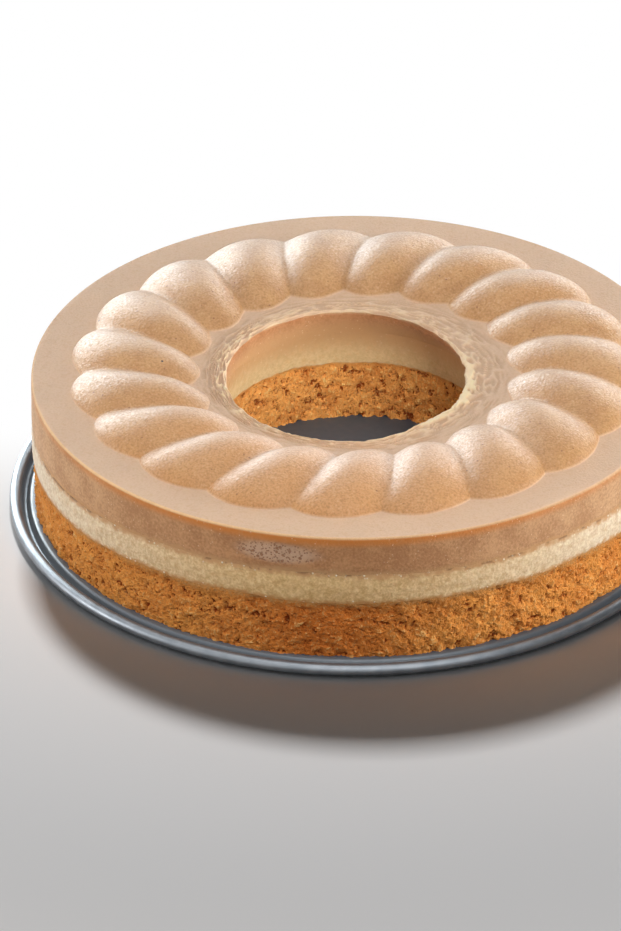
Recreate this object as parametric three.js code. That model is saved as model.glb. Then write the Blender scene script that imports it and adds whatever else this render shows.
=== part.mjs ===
// The loose base of a round baking pan, with the layered ring cake that was moulded on it.
// Millimetres, +Z up. The origin is on the table, under the middle of the base.
import * as THREE from "three";

// Pan base: one disc of coated steel sheet, pressed and rolled at the edge.
const SHEET = 0.8; // thickness of the steel sheet
const FLOOR_RISE = 3.2; // underside of the floor above the table
const FLOOR_MARGIN = 0.9; // bare floor left around the cake
const STEP_RUN = 1.6; // width of the slope from the floor down into the gutter
const GUTTER_WIDTH = 1.2; // flat bottom of the gutter, which stands on the table
const BEAD_DIAMETER = 5; // outside of the rolled rim
const BEAD_LIFT = 0.6; // underside of the rolled rim above the table
const CURL_DEGREES = 290; // how far the sheet turns round the wire
const WIRE_CLEARANCE = 0.3; // between the wire and the sheet rolled round it

// Cake: three rings, each lying on the one below.
const CAKE_RADIUS = 130; // outside of the caramel
const LOWER_INSET = 0.8; // crumb and cream lie this far inside the caramel
const CRUMB_HEIGHT = 25.6; // at the outside
const CREAM_HEIGHT = 12.6;
const CARAMEL_HEIGHT = 17; // from the cream to the flat top outside the flutes
const LAYER_RIDE = 2.8; // the layers meet the hole this much higher than the outside
const LAYER_GAP = 0.3; // between one layer and the next
const HOLE_FLOOR_RADIUS = 60; // the hole is wider at the bottom
const HOLE_TOP_RADIUS = 51;
const EDGE_ROUND = 1.2; // rounding of the caramel's outer top edge
const LIP_ROUND = 1.6; // rounding of the lip round the hole
const CLUMP_SIZE = 5; // across a clump in the broken walls of the crumb
const CLUMP_DEPTH = 1.4; // of the deepest hollows between the clumps

// Crown: radial flutes in the caramel's top.
const FLUTE_COUNT = 19;
const FLUTE_HEIGHT = 9.8; // above the flat top
const FLUTE_VALLEY = 5.6; // depth of the crease between two flutes, at its deepest
const FLUTE_SWEEP = -9.5; // degrees that a flute turns about Z from its inner to its outer end
const SHOULDER_WIDTH = 16.5; // flat top outside the flutes
const COLLAR_WIDTH = 11; // between the flutes and the hole
const COLLAR_RISE = 0.5; // the collar climbs this much to the lip
const OUTER_SCALLOP = 3; // a crease stops this far short of the flutes' outer ends
const INNER_SCALLOP = 5; // and of their inner ends
const OUTER_FULLNESS = 0.6; // of the arch along a flute: 0.5 gives an ellipse, 1 a parabola
const INNER_FULLNESS = 0.9; // the same, from the highest point inwards
const LOBE_FULLNESS = 0.9; // 1 gives a half-round flute, towards 0 a flat one

// Fineness of the facets.
const ROUND_STEPS = 76; // round the pan and the plain rings
const STEPS_PER_FLUTE = 8;
const ARCH_STEPS = 11; // along a flute
const CURL_STEPS = 12; // round the rolled rim
const WIRE_SIDES = 8;
const ROUND_OFF_STEPS = 3; // round an edge

// Heights and radii that follow from the sizes above.
const floorTop = FLOOR_RISE + SHEET;
const floorRadius = CAKE_RADIUS + FLOOR_MARGIN;
const gutterRadius = floorRadius + STEP_RUN;
const riserRadius = gutterRadius + GUTTER_WIDTH;
const beadRadius = BEAD_DIAMETER / 2;
const beadCentre = new THREE.Vector2(riserRadius + SHEET + beadRadius, BEAD_LIFT + beadRadius);
const crumbTop = floorTop + CRUMB_HEIGHT;
const creamTop = crumbTop + CREAM_HEIGHT;
const caramelTop = creamTop + CARAMEL_HEIGHT;
const crownOuter = CAKE_RADIUS - SHOULDER_WIDTH;
const crownInner = HOLE_TOP_RADIUS + COLLAR_WIDTH;
const lipTop = caramelTop + COLLAR_RISE;
const clumpsRound = Math.round((2 * Math.PI * CAKE_RADIUS) / CLUMP_SIZE);
const clumpsUp = Math.round(CRUMB_HEIGHT / CLUMP_SIZE);

const UP = new THREE.Vector3(0, 0, 1);

const point = (radius, height) => new THREE.Vector2(radius, height);

// Points of an arc in a profile, from one angle to another in degrees, ends included.
function arc(centre, radius, fromDegrees, toDegrees, steps) {
  return Array.from({ length: steps + 1 }, (_, i) => {
    const angle = THREE.MathUtils.degToRad(THREE.MathUtils.lerp(fromDegrees, toDegrees, i / steps));
    return point(centre.x + radius * Math.cos(angle), centre.y + radius * Math.sin(angle));
  });
}

// A profile turned about the Z axis, starting at the front, which is -Y.
function turned(profile, steps) {
  return new THREE.LatheGeometry(profile, steps).rotateX(Math.PI / 2);
}

function closed(profile) {
  return [...profile, profile[0].clone()];
}

// Radius of the hole's wall at a height: a cone from the floor up to the lip.
function holeRadius(height) {
  const share = (height - floorTop) / (lipTop - floorTop);
  return THREE.MathUtils.lerp(HOLE_FLOOR_RADIUS, HOLE_TOP_RADIUS, share);
}

// The sheet's section runs out along the top, round the wire and back along the underside.
function basePlate() {
  const start = 180;
  const end = start - CURL_DEGREES;
  const wallInside = beadCentre.x - beadRadius;
  const wallOutside = wallInside + SHEET;
  return turned(
    [
      point(0, floorTop),
      point(floorRadius, floorTop),
      point(gutterRadius, SHEET),
      point(riserRadius, SHEET),
      point(wallInside, (SHEET + beadCentre.y) / 2),
      ...arc(beadCentre, beadRadius, start, end, CURL_STEPS),
      ...arc(beadCentre, beadRadius - SHEET, end, start, CURL_STEPS),
      point(wallOutside, SHEET),
      point(riserRadius + SHEET / 2, 0),
      point(gutterRadius - SHEET / 2, 0),
      point(floorRadius - SHEET / 2, FLOOR_RISE),
      point(0, FLOOR_RISE),
    ].reverse(),
    ROUND_STEPS,
  );
}

function rimWire() {
  const radius = beadRadius - SHEET - WIRE_CLEARANCE;
  return turned(arc(beadCentre, radius, 0, 360, WIRE_SIDES), ROUND_STEPS);
}

// Points of a straight line in a profile, ends included.
function line(from, to, rows) {
  return Array.from({ length: rows + 1 }, (_, i) => from.clone().lerp(to, i / rows));
}

// A plain ring of the cake, from a bottom to a top height given at its outside.
function layerRing(bottom, top, bottomRide, topRide, rows = 1, steps = ROUND_STEPS) {
  const outside = CAKE_RADIUS - LOWER_INSET;
  const innerBottom = point(holeRadius(bottom + bottomRide), bottom + bottomRide);
  const innerTop = point(holeRadius(top + topRide), top + topRide);
  const outerWall = line(point(outside, bottom), point(outside, top), rows);
  const innerWall = line(innerTop, innerBottom, rows);
  return turned(closed([...outerWall, ...innerWall]), steps);
}

// The crumb is a plain ring whose two walls are broken: each of their points lies back by a depth of its own.
function crumbLayer() {
  const geometry = layerRing(floorTop, crumbTop, 0, LAYER_RIDE, clumpsUp, clumpsRound);
  const places = geometry.getAttribute("position");
  const sectionLength = places.count / (clumpsRound + 1);
  const middle = (HOLE_FLOOR_RADIUS + CAKE_RADIUS) / 2;
  const spot = new THREE.Vector3();
  for (let i = 0; i < places.count; i += 1) {
    const step = Math.floor(i / sectionLength) % clumpsRound;
    const row = (i % sectionLength) % (sectionLength - 1);
    const depth = CLUMP_DEPTH * THREE.MathUtils.seededRandom(step * sectionLength + row);
    spot.fromBufferAttribute(places, i);
    const radius = Math.hypot(spot.x, spot.y);
    const stretch = 1 + (radius > middle ? -depth : depth) / radius;
    places.setXY(i, spot.x * stretch, spot.y * stretch);
  }
  return geometry;
}

// How far the crown stands above the flat top, at a radius and an angle from the front.
function fluteHeight(radius, angle) {
  const pitch = (2 * Math.PI) / FLUTE_COUNT;
  const across = (2 * (angle - pitch * Math.round(angle / pitch))) / pitch;
  const outwards = radius - (crownOuter + crownInner) / 2;
  const scallop = outwards > 0 ? OUTER_SCALLOP : INNER_SCALLOP;
  const reach = (crownOuter - crownInner) / 2 - scallop * across ** 2;
  const fullness = outwards > 0 ? OUTER_FULLNESS : INNER_FULLNESS;
  const arch = Math.max(0, 1 - (outwards / reach) ** 2) ** fullness;
  const fall = 1 - Math.sqrt(1 - LOBE_FULLNESS * across ** 2);
  const deepest = 1 - Math.sqrt(1 - LOBE_FULLNESS);
  return arch * (FLUTE_HEIGHT - (FLUTE_VALLEY * fall) / deepest);
}

// The caramel is turned with a flat top, and the flutes are then raised out of it and swept.
function caramelCrown() {
  const bottom = creamTop + LAYER_GAP;
  const underside = bottom + LAYER_RIDE;
  const edgeCentre = point(CAKE_RADIUS - EDGE_ROUND, caramelTop - EDGE_ROUND);
  const lipCentre = point(HOLE_TOP_RADIUS + LIP_ROUND, lipTop - LIP_ROUND);
  const side = [
    point(holeRadius(underside), underside),
    point(CAKE_RADIUS, bottom),
    ...arc(edgeCentre, EDGE_ROUND, 0, 90, ROUND_OFF_STEPS),
  ];
  const crown = Array.from({ length: ARCH_STEPS + 1 }, (_, i) => {
    const share = (1 - Math.cos((Math.PI * i) / ARCH_STEPS)) / 2;
    return point(THREE.MathUtils.lerp(crownOuter, crownInner, share), caramelTop);
  });
  const lip = arc(lipCentre, LIP_ROUND, 90, 180, ROUND_OFF_STEPS);
  const profile = closed([...side, ...crown, ...lip]);
  const geometry = turned(profile, FLUTE_COUNT * STEPS_PER_FLUTE);
  const places = geometry.getAttribute("position");
  const spot = new THREE.Vector3();
  for (let i = 0; i < places.count; i += 1) {
    const ring = (i % profile.length) - side.length;
    if (ring >= 0 && ring < crown.length) {
      spot.fromBufferAttribute(places, i);
      const radius = crown[ring].x;
      const share = (radius - crownInner) / (crownOuter - crownInner) - 0.5;
      spot.z += fluteHeight(radius, Math.atan2(spot.x, -spot.y));
      spot.applyAxisAngle(UP, THREE.MathUtils.degToRad(FLUTE_SWEEP * share));
      places.setXYZ(i, spot.x, spot.y, spot.z);
    }
  }
  return geometry;
}

function finish(color, roughness, metalness = 0) {
  return new THREE.MeshStandardMaterial({ color, roughness, metalness });
}

function piece(name, geometry, material) {
  const mesh = new THREE.Mesh(geometry, material);
  mesh.name = name;
  return mesh;
}

const panBase = new THREE.Group();
panBase.add(
  piece("base_plate", basePlate(), finish("#5c6167", 0.4, 0.6)),
  piece("rim_wire", rimWire(), finish("#9a9c9e", 0.35, 0.9)),
);

const cake = new THREE.Group();
cake.add(
  piece("crumb_layer", crumbLayer(), finish("#bd7a3f", 0.9)),
  piece(
    "cream_layer",
    layerRing(crumbTop + LAYER_GAP, creamTop, LAYER_RIDE, LAYER_RIDE),
    finish("#d9bd94", 0.6),
  ),
  piece("caramel_crown", caramelCrown(), finish("#cfa882", 0.4)),
);

const panWithCake = new THREE.Group();
panWithCake.add(panBase, cake);

export default panWithCake;
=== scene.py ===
# %% [markdown]
# A ring cake of three layers stands on the loose base of its baking pan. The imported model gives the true
# sizes and the two moving bodies: the pan base, and the cake that lifts off it. This script dresses that
# model. Every piece but the hidden wire gets a fine mesh in the place of its plain solid, and each gets a
# finish made of shader nodes.
# Everything is in metres, +Z is up, and the front of the cake looks along -Y.

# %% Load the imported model
import math

import bmesh
import bpy
import numpy as np
from mathutils import Color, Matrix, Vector, noise
from mathutils.bvhtree import BVHTree


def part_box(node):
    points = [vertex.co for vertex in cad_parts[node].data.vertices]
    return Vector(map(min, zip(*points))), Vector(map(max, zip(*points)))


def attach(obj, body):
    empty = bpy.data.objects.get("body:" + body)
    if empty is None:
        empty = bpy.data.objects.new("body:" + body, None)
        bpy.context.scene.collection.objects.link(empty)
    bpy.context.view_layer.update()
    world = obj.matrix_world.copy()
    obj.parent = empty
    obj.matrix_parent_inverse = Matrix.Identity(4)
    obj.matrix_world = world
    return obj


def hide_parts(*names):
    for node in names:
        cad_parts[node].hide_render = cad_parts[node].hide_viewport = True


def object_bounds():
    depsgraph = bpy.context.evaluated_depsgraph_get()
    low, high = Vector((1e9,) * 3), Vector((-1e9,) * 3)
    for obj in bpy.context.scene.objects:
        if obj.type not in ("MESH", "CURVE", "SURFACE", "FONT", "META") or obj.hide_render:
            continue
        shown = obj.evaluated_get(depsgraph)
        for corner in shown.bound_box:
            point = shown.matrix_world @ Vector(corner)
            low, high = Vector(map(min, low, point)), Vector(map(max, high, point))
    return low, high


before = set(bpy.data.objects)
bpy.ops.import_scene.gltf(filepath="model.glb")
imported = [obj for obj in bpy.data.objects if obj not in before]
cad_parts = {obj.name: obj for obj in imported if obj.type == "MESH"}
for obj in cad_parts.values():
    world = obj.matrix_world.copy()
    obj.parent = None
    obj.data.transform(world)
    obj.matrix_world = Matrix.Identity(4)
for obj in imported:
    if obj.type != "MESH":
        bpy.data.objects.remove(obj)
cad_low, cad_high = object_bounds()
cad_size = (cad_high - cad_low) * 1000
print("packed model:", sorted(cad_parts), "measures in mm", [round(side, 1) for side in cad_size])

# %% [markdown]
# The base and the layers of the cake are all round about one axis. Turning a flat section about it makes
# each of them, and a Screw modifier could do it. Here they are laid out as grids of points instead, one
# section after another round the axis, because a grid can be shaped with arithmetic: waves, pits and flutes
# are just numbers added to its radius or height. Angles start at the front and run towards the right.
# Blender's noise of vectors starts from the time of day unless it is given a seed, so it gets a fixed one.

# %% Grids of points round the axis
MM = 0.001
TURN = 2 * math.pi
NOISE_SEED = 1
noise.seed_set(NOISE_SEED)


def steps_round(count):
    """The angles of a ring's sections, as a column."""
    return np.arange(count)[:, None] * TURN / count


def placed(angle, radius, height):
    """Points in space from angle, radius and height, which may be arrays of different shapes."""
    angle, radius, height = np.broadcast_arrays(angle, radius, height)
    return np.stack([radius * np.sin(angle), -radius * np.cos(angle), height], axis=-1)


def lumps(places, size, shift=0.0):
    """Smooth noise at each point, from about -1 to 1. Its lumps are about as big as size."""
    spots = (places.reshape(-1, 3) / size + shift).tolist()
    return np.reshape([noise.noise(spot) for spot in spots], places.shape[:-1])


def ramp(value, low, high):
    """0 below low, 1 above high, and an S-shaped climb between them. Low may be the larger one."""
    share = np.clip((value - low) / (high - low), 0, 1)
    return share * share * (3 - 2 * share)


def around(angle, middle, width):
    """1 at a middle angle, falling to 0 at a width to both sides of it."""
    return 1 - ramp(np.abs((angle - middle + TURN / 2) % TURN - TURN / 2), 0, width)


print("angle 0 looks to the front:", placed(0.0, 1.0, 0.0).tolist())
print("a quarter turn looks to the right:", placed(TURN / 4, 1.0, 0.0).round(3).tolist())

# %% [markdown]
# A grid becomes a mesh when each group of four neighbours is joined by a face. Numbers that were worked out
# for a point, such as how deep it lies in a pit, are kept on the mesh as attributes, so that the finish can
# darken the same pit that the shape has. The UV map cuts each ring into a few strips and lays them in rows,
# which is the layout that a texture baked from the nodes needs: Blender's own unwrapping would shred a
# rough surface.

# %% From a grid to an object
UV_MAP = "OFBake"
STRIP_MARGIN = 0.01
SHARP_FROM = math.radians(35)


def strip_map(steps, spans, strips):
    """UV corners of a grid's faces: the ring is cut into strips, which lie above each other."""
    step, span = np.meshgrid(np.arange(steps), np.arange(spans), indexing="ij")
    strip_steps = steps / strips
    strip = np.floor(step / strip_steps)
    left = step / strip_steps - strip
    along = np.stack([left, left + 1 / strip_steps, left + 1 / strip_steps, left], axis=-1)
    low = span / spans
    across = np.stack([low, low, low + 1 / spans, low + 1 / spans], axis=-1)
    inset = STRIP_MARGIN + (1 - 2 * STRIP_MARGIN) * np.stack([np.minimum(along, 1), across], axis=-1)
    inset[..., 1] = (inset[..., 1] + strip[..., None]) / strips
    return inset


def ring_object(name, places, strips, closed=True, **marks):
    """A smooth ring from places[section, point]. A closed section joins its end to its start."""
    steps, points = places.shape[:2]
    spans = points if closed else points - 1
    step, point = np.meshgrid(np.arange(steps), np.arange(spans), indexing="ij")
    ahead = (step + 1) % steps
    above = (point + 1) % points
    corners = [step * points + point, ahead * points + point, ahead * points + above, step * points + above]
    mesh = bpy.data.meshes.new(name)
    mesh.from_pydata(places.reshape(-1, 3), [], np.stack(corners, axis=-1).reshape(-1, 4))
    layer = mesh.uv_layers.new(name=UV_MAP)
    layer.uv.foreach_set("vector", strip_map(steps, spans, strips).astype(np.float32).ravel())
    for mark, values in marks.items():
        attribute = mesh.attributes.new(mark, "FLOAT", "POINT")
        values = np.broadcast_to(values, (steps, points))
        attribute.data.foreach_set("value", values.astype(np.float32).ravel())
    mesh.shade_smooth()
    mesh.set_sharp_from_angle(angle=SHARP_FROM)
    made = bpy.data.objects.new(name, mesh)
    bpy.context.scene.collection.objects.link(made)
    print(name, "has", len(mesh.vertices), "points and", len(mesh.polygons), "faces")
    return made


def finished(made, finish, body, slot, *nodes):
    """Gives a piece its finish and body, and hides the plain solids that it stands for. The slot is not used.
    """
    made.data.materials.append(finish)
    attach(made, body)
    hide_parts(*nodes)
    return made


sample_map = strip_map(steps=12, spans=4, strips=3)
print("UV corners lie between", sample_map.min().round(3), "and", sample_map.max().round(3))

# %% [markdown]
# A finish is a tree of shader nodes. Adding each node by hand takes four or five lines, so a few helpers
# add one node in one line and return its output. Every pattern reads Object coordinates, which are metres
# here, so the size of a grain is written as a real size and stays on the piece when it moves.

# %% Helpers for the finishes
def screen_colour(red, green, blue):
    """A colour as a screen shows it, 0 to 255, turned into the linear light that shaders work in."""
    linear = Color((red / 255, green / 255, blue / 255)).from_srgb_to_scene_linear()
    return (*linear, 1.0)


class Finish:
    """A material with one Principled shader, and short ways to add the nodes that feed it."""

    def __init__(self, name, **even):
        self.material = bpy.data.materials.new(name)
        self.material.use_nodes = True
        self.tree = self.material.node_tree
        self.shader = self.tree.nodes["Principled BSDF"]
        self.places = self.tree.nodes.new("ShaderNodeTexCoord").outputs["Object"]
        for socket, value in even.items():
            self.shader.inputs[socket.replace("_", " ")].default_value = value

    def feed(self, socket, value):
        """Links an output to a socket, or sets a plain number or colour on it."""
        if isinstance(value, bpy.types.NodeSocket):
            self.tree.links.new(value, socket)
        else:
            socket.default_value = value

    def mark(self, name):
        """A number kept on the mesh for each point."""
        node = self.tree.nodes.new("ShaderNodeAttribute")
        node.attribute_name = name
        return node.outputs["Fac"]

    def grain(self, size, detail=2.0, stretch=None):
        """Cloudy noise from 0 to 1, in grains of a real size. Stretch multiplies the coordinates."""
        node = self.tree.nodes.new("ShaderNodeTexNoise")
        node.inputs["Scale"].default_value = 1 / size
        node.inputs["Detail"].default_value = detail
        self.feed(node.inputs["Vector"], self.stretched(stretch) if stretch else self.places)
        return node.outputs["Fac"]

    def stretched(self, stretch):
        """The places on the object, multiplied along X, Y and Z."""
        node = self.tree.nodes.new("ShaderNodeMapping")
        node.inputs["Scale"].default_value = stretch
        self.feed(node.inputs["Vector"], self.places)
        return node.outputs["Vector"]

    def cells(self, size):
        """Points scattered about one size apart: the distance to the nearest, in sizes, and its colour."""
        node = self.tree.nodes.new("ShaderNodeTexVoronoi")
        node.inputs["Scale"].default_value = 1 / size
        self.feed(node.inputs["Vector"], self.places)
        return node.outputs["Distance"], node.outputs["Color"]

    def climb(self, value, low, high, start=0.0, end=1.0):
        """Start where the value is low, end where it is high, and a smooth climb between them."""
        node = self.tree.nodes.new("ShaderNodeMapRange")
        node.interpolation_type = "SMOOTHSTEP"
        for socket, number in zip(node.inputs, (value, low, high, start, end)):
            self.feed(socket, number)
        return node.outputs["Result"]

    def sums(self, operation, first, second):
        """One step of arithmetic, such as MULTIPLY, on numbers or outputs."""
        node = self.tree.nodes.new("ShaderNodeMath")
        node.operation = operation
        self.feed(node.inputs[0], first)
        self.feed(node.inputs[1], second)
        return node.outputs["Value"]

    def times(self, first, *others):
        """The product of several numbers or outputs."""
        for other in others:
            first = self.sums("MULTIPLY", first, other)
        return first

    def vector_sums(self, operation, first, second=None):
        """One step of arithmetic on places, such as SUBTRACT, or the LENGTH of one."""
        node = self.tree.nodes.new("ShaderNodeVectorMath")
        node.operation = operation
        self.feed(node.inputs[0], first)
        if second is not None:
            self.feed(node.inputs[1], second)
        return node.outputs["Value" if operation == "LENGTH" else "Vector"]

    def ragged(self, share, size, torn=0.6):
        """Gives a soft border a torn edge: noise of a real size decides on which side of it a spot lies."""
        shift = self.climb(self.grain(size, detail=2), 0.25, 0.75, -torn, torn)
        return self.climb(self.sums("ADD", share, shift), 0.0, 1.1)

    def blend(self, share, under, over):
        """The colour under where the share is 0, and the colour over where it is 1."""
        node = self.tree.nodes.new("ShaderNodeMix")
        node.data_type = "RGBA"
        sockets = {socket.identifier: socket for socket in node.inputs}
        self.feed(sockets["Factor_Float"], share)
        self.feed(sockets["A_Color"], under)
        self.feed(sockets["B_Color"], over)
        return next(socket for socket in node.outputs if socket.identifier == "Result_Color")

    def relief(self, height, depth, under=None):
        """Fine relief that is too small for the mesh, of a real depth. Several are stacked through under."""
        node = self.tree.nodes.new("ShaderNodeBump")
        node.inputs["Distance"].default_value = depth
        self.feed(node.inputs["Height"], height)
        if under is not None:
            self.feed(node.inputs["Normal"], under)
        return node.outputs["Normal"]

    def wear(self, **sockets):
        """Links outputs to the shader's own sockets."""
        for socket, value in sockets.items():
            self.feed(self.shader.inputs[socket.replace("_", " ")], value)
        return self.material


print("half grey on a screen is", round(screen_colour(128, 128, 128)[0], 3), "in linear light")

# %% [markdown]
# The pan base is one disc of steel sheet with a dark satin coating. Its floor is slightly raised, a narrow
# gutter runs round it, and the edge is rolled into a bead round a wire. A pressed sheet has the same
# thickness all over, so only its middle line is drawn: a few corners, eased as a press eases them, and an
# arc for the bead. The two faces of the sheet lie half a thickness to each side of that line.

# %% The section of the pan base
SHEET = 0.8 * MM
FLOOR_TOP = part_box("crumb_layer")[0].z
FLOOR_RADIUS = 130.9 * MM
STEP_RUN = 1.6 * MM
GUTTER_WIDTH = 1.2 * MM
BEAD_RADIUS = 2.45 * MM
RISER_RADIUS = FLOOR_RADIUS + STEP_RUN + GUTTER_WIDTH
RIM_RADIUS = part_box("base_plate")[1].x
BEAD_CENTRE = np.array([RIM_RADIUS - BEAD_RADIUS, 3.1 * MM])
BEND_REACH = 0.7 * MM
BEND_STEPS = 6
BEAD_STEPS = 40
FLOOR_STEPS = 24


def eased(corners, reach, steps):
    """A line through corners, with each inner corner cut short by a curve that starts a reach before it."""
    line = [corners[0]]
    for before, corner, after in zip(corners, corners[1:], corners[2:]):
        start = corner + (before - corner) * reach / np.linalg.norm(before - corner)
        end = corner + (after - corner) * reach / np.linalg.norm(after - corner)
        for share in np.linspace(0, 1, steps):
            line.append(start * (1 - share) ** 2 + 2 * corner * share * (1 - share) + end * share**2)
    return np.array([*line, corners[-1]])


def base_middle_line():
    """The middle of the sheet, from the axis out to the end of the rolled bead."""
    middle = SHEET / 2
    bead_middle = BEAD_RADIUS - middle
    turns = np.radians(np.linspace(180, -110, BEAD_STEPS))
    bead = BEAD_CENTRE + bead_middle * np.stack([np.cos(turns), np.sin(turns)], axis=-1)
    corners = np.array([
        [FLOOR_RADIUS - 4 * BEND_REACH, FLOOR_TOP - middle],
        [FLOOR_RADIUS - middle / 2, FLOOR_TOP - middle],
        [FLOOR_RADIUS + STEP_RUN - middle / 2, middle],
        [RISER_RADIUS + middle / 2, middle],
        bead[0] - [0, SHEET],
        bead[0],
    ])
    floor = np.linspace([0, FLOOR_TOP - middle], corners[0], FLOOR_STEPS, endpoint=False)
    return np.concatenate([floor, eased(corners, BEND_REACH, BEND_STEPS), bead[1:]])


base_line = base_middle_line()
print("the base's section has", len(base_line), "points and ends", base_line[-1].round(5).tolist())

# %% [markdown]
# Turning the section round the axis gives the base. All its sections meet in the middle of the floor, so
# the points that lie on each other there are merged into one.

# %% Press the pan base
BASE_STEPS = 360
MERGE_REACH = 0.001 * MM


def press_base():
    """The coated sheet: its lower face from the axis to the bead's end, then its upper face back."""
    heading = np.gradient(base_line, axis=0)
    heading /= np.linalg.norm(heading, axis=1)[:, None]
    sideways = np.stack([-heading[:, 1], heading[:, 0]], axis=-1) * SHEET / 2
    upper = base_line + sideways
    lower = base_line - sideways
    upper[0, 0] = lower[0, 0] = 0
    section = np.concatenate([lower, upper[::-1]])
    places = placed(steps_round(BASE_STEPS), section[:, 0], section[:, 1])
    return ring_object("coated_base", places, strips=4, closed=False)


def merge_middle(made, reach):
    """Merges the points that a closed turn has put on each other at the axis."""
    joined = bmesh.new()
    joined.from_mesh(made.data)
    bmesh.ops.remove_doubles(joined, verts=joined.verts, dist=reach)
    joined.to_mesh(made.data)
    joined.free()


coated_base = press_base()
merge_middle(coated_base, MERGE_REACH)
print("after merging the middle the base has", len(coated_base.data.vertices), "points")

# %% [markdown]
# The coating is a grey satin paint with a metallic cast, baked onto the steel. It is smooth to the touch,
# so its relief is only a fine orange peel. What gives it life is the gloss, which changes from spot to
# spot. The bead is painted a little lighter than the rest, which is a painted reflection of the pale room,
# and the floor under the cake and in the hole is painted darker and bluer, which is painted shade.

# %% Finish of the coated steel
COATING = screen_colour(120, 127, 134)
COATING_DARK = screen_colour(98, 106, 114)
# painted reflection: the bead is lighter, as where it mirrors the pale room
COATING_BEAD_REFLECTION = screen_colour(156, 161, 167)
# painted shade: the floor under the cake and in the hole is darker and bluer
COATING_FLOOR_SHADE = screen_colour(84, 100, 114)


def coat_steel():
    finish = Finish("coated_steel")
    radius = finish.vector_sums("LENGTH", finish.stretched((1, 1, 0)))
    # painted reflection along the bead, broken up by a cloudy noise
    bead_reflection = finish.times(finish.climb(radius, RISER_RADIUS, RIM_RADIUS), finish.grain(6 * MM))
    outside = finish.climb(radius, FLOOR_RADIUS - 4 * STEP_RUN, FLOOR_RADIUS)
    cloudy = finish.blend(finish.grain(22 * MM, detail=4), COATING_DARK, COATING)
    colour = finish.blend(bead_reflection, finish.blend(outside, COATING_FLOOR_SHADE, cloudy), COATING_BEAD_REFLECTION)
    metal = finish.climb(radius, FLOOR_RADIUS, RISER_RADIUS, 0.15, 0.6)
    roughness = finish.climb(finish.grain(3 * MM, detail=6), 0.3, 0.7, 0.36, 0.48)
    peel = finish.relief(finish.grain(0.9 * MM, detail=1), 0.02 * MM)
    return finish.wear(Base_Color=colour, Metallic=metal, Roughness=roughness, Normal=peel)


finished(coated_base, coat_steel(), "pan_base", "coated_steel", "base_plate")
print("the coated base rides on the pan base")

# %% [markdown]
# The wire inside the rolled bead shows only from below, through the slit where the sheet ends. Its solid
# already has the right shape, so it stays and only gets a finish: bare drawn steel, a little cloudy.

# %% Finish of the rim wire
def draw_wire():
    finish = Finish("steel_wire", Metallic=1.0)
    cloud = finish.grain(2 * MM, detail=4)
    colour = finish.blend(cloud, screen_colour(120, 122, 125), screen_colour(168, 170, 172))
    roughness = finish.climb(finish.grain(0.4 * MM, detail=3), 0.3, 0.7, 0.25, 0.4)
    return finish.wear(Base_Color=colour, Roughness=roughness)


rim_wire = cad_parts["rim_wire"]
rim_wire.data.materials.clear()
rim_wire.data.materials.append(draw_wire())
print("the rim wire wears", rim_wire.data.materials[0].name)

# %% [markdown]
# The three layers were poured onto each other, so the line where two of them meet is never straight. Each
# of these seams is one formula of the angle, and the layer below and the layer above both use it, so they
# fit without a gap. The seams lie a little higher in the hole than outside, and the crumb's edge in the
# hole is rough.

# %% The seams between the layers
CAKE_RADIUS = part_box("caramel_crown")[1].x
LOWER_STEP = 0.3 * MM
LOWER_RADIUS = CAKE_RADIUS - LOWER_STEP
SEAM_RIDE = 2.8 * MM
CRUMB_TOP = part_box("crumb_layer")[1].z - SEAM_RIDE
CREAM_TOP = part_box("cream_layer")[1].z - SEAM_RIDE
HOLE_CREAM_RISE = 3 * MM
HOLE_FLOOR_RADIUS = 60 * MM
HOLE_LIP_RADIUS = 51 * MM
FLAT_TOP = 59.2 * MM
LIP_TOP = 59.7 * MM
SEAM_DIP = 3.5 * MM
DIP_AT = math.radians(-80)
DIP_WIDTH = math.radians(55)
CRUMB_SEED = 3.0
CREAM_SEED = 8.0
SMOOTH_BUMPS = 0.12
CRUMBLY_BUMPS = 0.5


def seam(angle, level, radius, wave, seed, bumps=SMOOTH_BUMPS):
    """Height of a seam: a level that dips on the left, with waves, ripples and bumps on it."""
    line = placed(angle, radius, level)
    ripple = 0.4 * lumps(line, 8 * MM, seed) + bumps * lumps(line, 2.6 * MM, seed)
    dip = SEAM_DIP * around(angle, DIP_AT, DIP_WIDTH)
    return level - dip + wave * (lumps(line, 26 * MM, seed) + ripple)


def hole_radius(height):
    """Radius of the hole's wall: a cone, wider at the floor than at the lip."""
    share = (height - FLOOR_TOP) / (LIP_TOP - FLOOR_TOP)
    return HOLE_FLOOR_RADIUS + (HOLE_LIP_RADIUS - HOLE_FLOOR_RADIUS) * share


def crumb_seams(angle):
    """Where crumb and cream meet, outside and in the hole."""
    outside = seam(angle, CRUMB_TOP, LOWER_RADIUS, 1.0 * MM, CRUMB_SEED)
    hole_level = CRUMB_TOP + SEAM_RIDE
    return outside, seam(angle, hole_level, HOLE_LIP_RADIUS, 0.9 * MM, CRUMB_SEED, CRUMBLY_BUMPS)


def cream_seams(angle):
    """Where cream and caramel meet, outside and in the hole."""
    outside = seam(angle, CREAM_TOP, LOWER_RADIUS, 0.9 * MM, CREAM_SEED)
    hole_level = CREAM_TOP + SEAM_RIDE + HOLE_CREAM_RISE
    return outside, seam(angle, hole_level, HOLE_LIP_RADIUS, 0.8 * MM, CREAM_SEED)


print("seams in mm at", [round(level / MM, 1) for level in (FLOOR_TOP, CRUMB_TOP, CREAM_TOP, FLAT_TOP)])

# %% [markdown]
# Each lower layer is a ring with four sides. Its rows run along the bottom, up the outer wall, back along
# the top and down the wall of the hole, and most rows are spent on the two walls, which are all that shows.

# %% A layer as a grid
HIDDEN_ROWS = 3


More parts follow.
